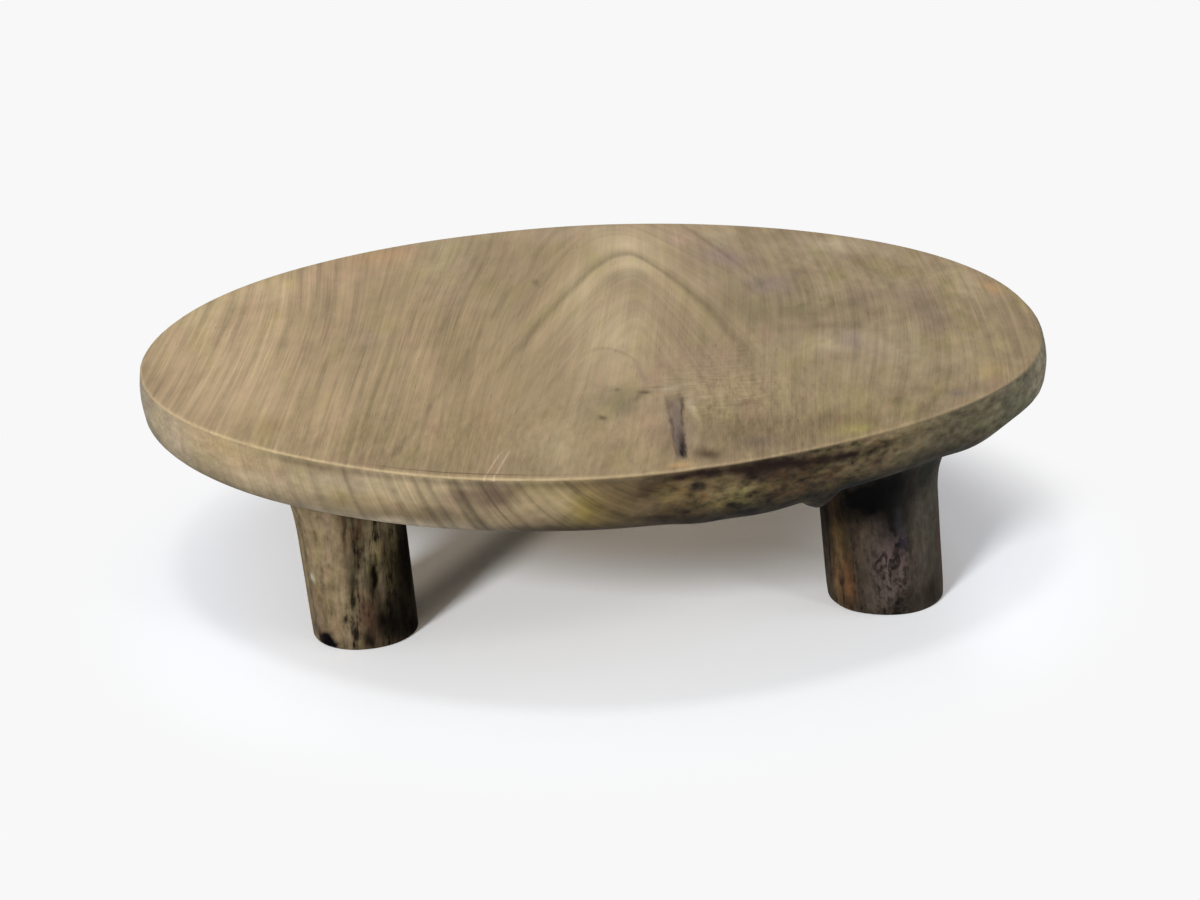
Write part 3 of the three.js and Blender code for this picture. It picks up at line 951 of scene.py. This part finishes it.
    # The slit in the face: ragged dark sides, grey wood between them, and black at its front end
    off_slit = x - (22 + 0.085 * (y + 145)) + 0.8 * graph.noise(x / 2.5, y / 9, 4)
    half = 1.2 + 0.8 * ramp(y, -184, -165) + 1.2 * ramp(y, -138, -124)
    slit_room = ramp(y, -188, -180) * ramp(y, -100, -126) * (1 - rim)
    fine = graph.noise(x / 0.9, y / 14, 7)
    within = bell(off_slit, 0, half + 1.5) * slit_room * (0.7 + 0.25 * fine)
    color = graph.mix(within, color, linear(120, 104, 98))
    sides = bell(graph.math("ABSOLUTE", off_slit) - half, 0, 1.3) * slit_room
    sides = sides * (0.6 + 0.4 * ramp(off_slit, -1, 1))
    torn = ramp(graph.noise(x / 3, y / 20, 2), -0.6, 0.3)
    color = graph.mix(sides * torn * 0.8, color, linear(48, 38, 34))
    heart = bell(off_slit, 0.9, 2.2) * slit_room * ramp(y, -142, -172)
    color = graph.mix(heart * (0.9 + 0.3 * fine), color, linear(24, 16, 15))

    # Cream scratches across the face: short ones beside the slit, and two at the front edge
    pecks = ramp(graph.noise(x / 6, y / 2.4, 9), 0.4, 0.9) * bell(x, 40, 17)
    color = graph.mix(pecks * bell(y, -78, 62) * 0.5, color, linear(196, 178, 150))
    scratches = bell(x - 0.256 * (y + 174) + 47.9, 0, 0.9)
    scratches = scratches + bell(x - 0.28 * (y + 173) + 51, 0, 0.8)
    scratches = scratches * ramp(y, -158, -170) * (0.7 + 0.5 * fine)
    color = graph.mix(scratches * ramp(past, 1.5, 0.5), color, linear(202, 182, 152))
    color = graph.scale(color, 1 - 0.1 * ramp(past, -30, -6) * front * (1 - rim))

    # The upper edge, paler from wear and from a painted highlight that is strongest on the left, a scored
    # line beside it and the dark line under it
    left = ramp(x, 60, -60)
    patchy = ramp(graph.noise(x / 9, y / 9, 3), -0.9, 0.3)
    worn_and_highlit_edge = bell(past, 0.1, 1.1) * patchy * (0.08 + 0.4 * left)
    color = graph.mix(worn_and_highlit_edge, color, graph.mix(left, linear(184, 162, 128), linear(196, 177, 134)))
    score = bell(past, -4.3 + 0.5 * uneven, 0.9) * bell(x, -62, 55) * front
    color = graph.mix(score * 0.65, color, linear(86, 70, 50))
    under = bell(past, 2.4, 2.2) * ramp(x, -150, -130) * ramp(x, 20, 0) * front
    color = graph.scale(color, 1 - 0.3 * under)
    below_arris = 1.9 + 1.2 * uneven + 3.2 * ramp(x, 48, 75)
    shade = bell(past, below_arris, 3) * ramp(x, 8, 16) * ramp(x, 130, 85)
    broken = 0.5 + 0.5 * ramp(graph.noise(x / 6, y / 6, z / 3, 3), -0.6, 0.2)
    color = graph.mix(shade * front * broken, color, linear(24, 9, 4))
    ragged = bell(past + 1.5 * blotches, 24.5, 3.6) * bell(x, -10, 80) * front
    color = graph.mix(ragged * 0.75, color, linear(40, 29, 19))
    height = 0.5 * streaks * calm + 0.3 * hairs + 0.4 * cups * end_grain - pores - 0.5 * arch
    return graph.finish(color, 0.8 + 0.06 * streaks, height, 0.0001, 0.16)


def leg_wood(leg):
    """A leg's finish, streaked along it. The front legs each have a look of their own."""
    graph = Graph(leg.name + "_wood")
    ramp, bell = graph.ramp, graph.bell
    x, y, z = graph.place()
    color = graph.value("Attribute", "Color", {}, attribute_name="stain")
    foot = leg_axes(leg)[0] * MILLIMETRES
    slant = 0.11 if leg.name == "leg_front_left" else 0
    across = x - foot[0] - (leg.lean[0] + slant) * z
    along = y - foot[1] - leg.lean[1] * z
    front = ramp(along, 0, -10)
    right_side = ramp(across, 3, 12) * front
    seed = leg.diagonal / 10
    streaks = graph.noise(across / 4 + seed, along / 4, z / 38, 4, 0.65)
    mottle = graph.noise(across / 3.2 + seed, along / 3.2, z / 5, 3, 0.6)
    pores = ramp(graph.noise(across / 0.5, along / 0.5, z / 6, 1), 0.55, 0.95)
    level, gloss = 0.95, 0.08
    if leg.name == "leg_front_left":
        inner = ramp(across, -12, 0)
        streaks = streaks * (0.6 + 0.6 * inner) + 0.1 - 0.2 * inner
        level, gloss = 0.86, 0.02
    if leg.name == "leg_front_right":
        streaks = streaks * (1 - 0.7 * right_side) + 0.12 * right_side
        level = 0.85
    dark = ramp(streaks + 0.45 * mottle, -0.25, -0.75)
    tone = level + 0.6 * streaks + 0.5 * mottle - 0.3 * pores
    color = graph.scale(color, graph.math("MAXIMUM", tone, 0.2))
    color = graph.mix(dark * 0.85, color, linear(18, 13, 9))
    tint = graph.noise(across / 5, along / 5 + seed, z / 14)
    color = graph.tinted(color, ramp(tint, 0, 0.9), 1, 0.88, 0.86)
    color = graph.tinted(color, ramp(tint, 0, -0.9), 0.93, 1, 0.8)
    if leg.name == "leg_front_right":
        whorl = graph.noise(across / 6 + seed, along / 6, z / 11)
        curl = bell(graph.noise(across / 7 + whorl, along / 7, z / 10 + whorl, 1), 0, 0.5)
        middle = bell(across, -1, 14) * front
        color = graph.scale(color, 1 - 0.36 * middle)
        color = graph.mix(curl * middle * bell(z, 21, 24) * 0.65, color, linear(104, 88, 83))
        spots = ramp(graph.noise(across / 1.9, along / 1.9, z / 2.4), 0.1, -0.5)
        color = graph.scale(color, 1 - 0.7 * spots * middle * ramp(z, 50, 14))
    height = streaks + 0.5 * mottle - pores - dark
    return graph.finish(color, 0.82 + 0.08 * mottle, height, 0.0003, gloss)


# The room

def make_floor():
    """A pale floor, an even white far off. Near by it keeps the table's shadow, lifted by painted
    light that the floor gives off itself, and deepest where that painted light is least, behind the left
    leg."""
    graph = Graph("pale_floor")
    x, y, z = graph.place()
    reach = graph.math("SQRT", x * x + (y + 40) * (y + 40))
    camera_ray = graph.value("LightPath", "Is Camera Ray", {})
    seen = graph.math("MAXIMUM", camera_ray, graph.value("LightPath", "Is Glossy Ray", {}))
    far_off = graph.ramp(reach, 165, 245) * seen
    lit = graph.value("BsdfDiffuse", 0, {"Color": linear(242, 246, 252)})
    # Painted light: near by, the floor gives off light of its own, more at the sides and under the middle,
    # warm in the middle and cool at the sides, and less along a strip behind the left leg, which paints a
    # deeper shadow there.
    painted_shadow_strip = graph.bell(x + 92 - 0.61 * (y + 100), 0, 24) * graph.ramp(y, -128, -95)
    sides = graph.ramp(x, -90, -190) + graph.ramp(x, 110, 165)
    painted_glow = 0.11 + 0.12 * sides + 0.05 * graph.bell(x, 20, 80) * graph.bell(y, -20, 50) - 0.12 * painted_shadow_strip
    painted_glow_color = graph.mix(sides, linear(252, 236, 212), linear(244, 244, 250))
    painted_glow_shader = graph.value("Emission", 0, {"Color": painted_glow_color, "Strength": painted_glow * seen})
    near = graph.value("AddShader", 0, {0: lit, 1: painted_glow_shader})
    white = graph.value("Emission", 0, {"Color": linear(248, 248, 248), "Strength": 1})
    shader = graph.node("MixShader", {0: far_off, 1: near, 2: white})
    output = graph.node("OutputMaterial", {})
    graph.tree.links.new(shader.outputs[0], output.inputs[0])
    mesh = bpy.data.meshes.new("floor")
    far = 12
    mesh.from_pydata([(-far, -far, 0), (far, -far, 0), (far, far, 0), (-far, far, 0)], [], [(0, 1, 2, 3)])
    mesh.materials.append(graph.material)
    floor = bpy.data.objects.new("floor", mesh)
    bpy.context.scene.collection.objects.link(floor)


def make_lamp(name, azimuth, elevation, size, share):
    """A round lamp that gives its share of the light on the floor. Angles are in degrees."""
    away = 4.5
    turn, rise = math.radians(azimuth), math.radians(elevation)
    toward = Vector((math.cos(turn) * math.cos(rise), math.sin(turn) * math.cos(rise), math.sin(rise)))
    lamp = bpy.data.lights.new(name, "AREA")
    lamp.shape = "DISK"
    lamp.size = size
    lamp.energy = share * (math.pi * away) ** 2 / math.sin(rise)
    holder = bpy.data.objects.new(name, lamp)
    holder.location = toward * away
    holder.rotation_euler = (-toward).to_track_quat("-Z", "Y").to_euler()
    bpy.context.scene.collection.objects.link(holder)


def make_light():
    """A key from the front left and weaker lamps overhead and on the right, in a pale room."""
    world = bpy.data.worlds.new("room")
    world.use_nodes = True
    backdrop = world.node_tree.nodes["Background"].inputs
    backdrop["Color"].default_value = (1, 1, 1, 1)
    backdrop["Strength"].default_value = 0.23
    bpy.context.scene.world = world
    make_lamp("key", 237, 27, 0.9, 0.41)
    make_lamp("side", 345, 30, 2.6, 0.07)
    make_lamp("fill", 311, 36, 0.9, 0.07)
    make_lamp("overhead", 180, 84, 0.8, 0.13)


def make_camera():
    """The camera that took the photograph, as fitted to the table's outline and feet."""
    distance, elevation = 1.0, math.radians(16.11)
    pitch, yaw, roll = math.radians(19.33), math.radians(0.123), math.radians(-2.7)
    table_turn = Matrix.Rotation(math.radians(-4.2), 3, "Z")
    focal_pixels, frame_pixels = 2194.4, 1200
    ahead = Vector((math.sin(yaw) * math.cos(pitch), math.cos(yaw) * math.cos(pitch), -math.sin(pitch)))
    level = ahead.cross(Vector((0, 0, 1))).normalized()
    upright = level.cross(ahead)
    right = level * math.cos(roll) + upright * math.sin(roll)
    up = upright * math.cos(roll) - level * math.sin(roll)
    turned = table_turn @ Matrix((right, up, -ahead)).transposed()
    place = table_turn @ Vector((0, -math.cos(elevation), math.sin(elevation))) * distance
    place += Vector((0, 0, TABLE_HEIGHT))
    data = bpy.data.cameras.new("camera")
    data.sensor_fit = "HORIZONTAL"
    data.sensor_width = 36
    data.lens = data.sensor_width * focal_pixels / frame_pixels
    camera = bpy.data.objects.new("camera", data)
    camera.matrix_world = Matrix.Translation(place) @ turned.to_4x4()
    bpy.context.scene.collection.objects.link(camera)
    bpy.context.scene.camera = camera


make_camera()
top = make_top(top_wood())
cut_mortises(top)
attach(top, "root")
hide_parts("top_slab")
for leg in LEGS:
    made = make_leg(leg, leg_wood(leg))
    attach(made, "root")
    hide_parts(leg.name)
make_floor()
make_light()
bpy.context.scene.view_settings.view_transform = "Standard"
